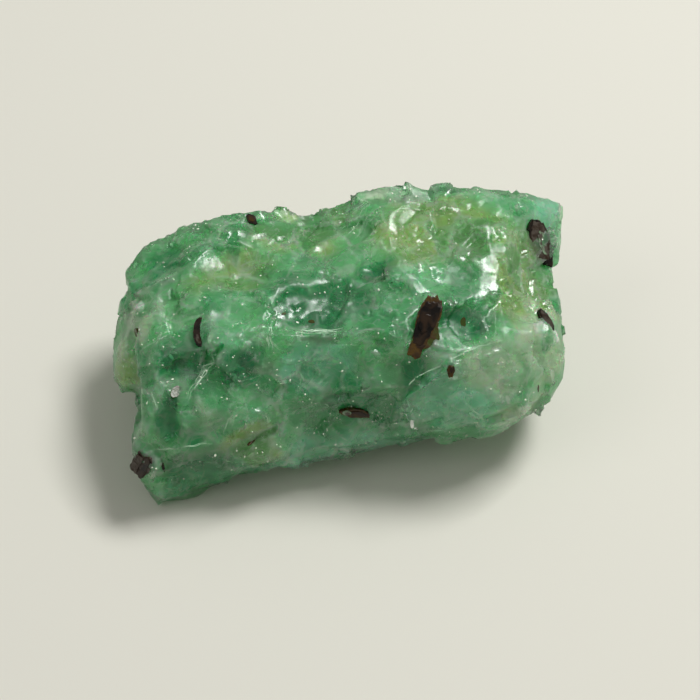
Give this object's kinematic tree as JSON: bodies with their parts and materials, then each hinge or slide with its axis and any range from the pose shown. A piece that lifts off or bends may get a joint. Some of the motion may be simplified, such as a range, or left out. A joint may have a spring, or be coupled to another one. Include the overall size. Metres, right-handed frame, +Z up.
{
  "type": "raw emerald crystal",
  "caption": "Broken length of a green beryl prism lying on its side, with curved fracture faces and dark mica flakes grown into its surface.",
  "frame": {"origin": "under the middle of the bounding box, on the surface that the stone rests on", "axes": "+X along the old prism towards the end with the corner block, +Y from the front to the back, +Z up"},
  "size_m": [0.0238, 0.013, 0.0096],
  "materials": {
    "emerald": "clear to milky green beryl, broken faces, glassy and uneven",
    "mica": "black-brown mica in thin layers, pearly where it catches light"
  },
  "bodies": {
    "root": {"emerald": "emerald", "mica_large": "mica", "mica_right_end": "mica", "mica_left_corner": "mica", "mica_curved": "mica", "mica_right_edge": "mica", "mica_back_edge": "mica", "mica_speck": "mica", "mica_cluster": "mica"}
  },
  "joints": []
}
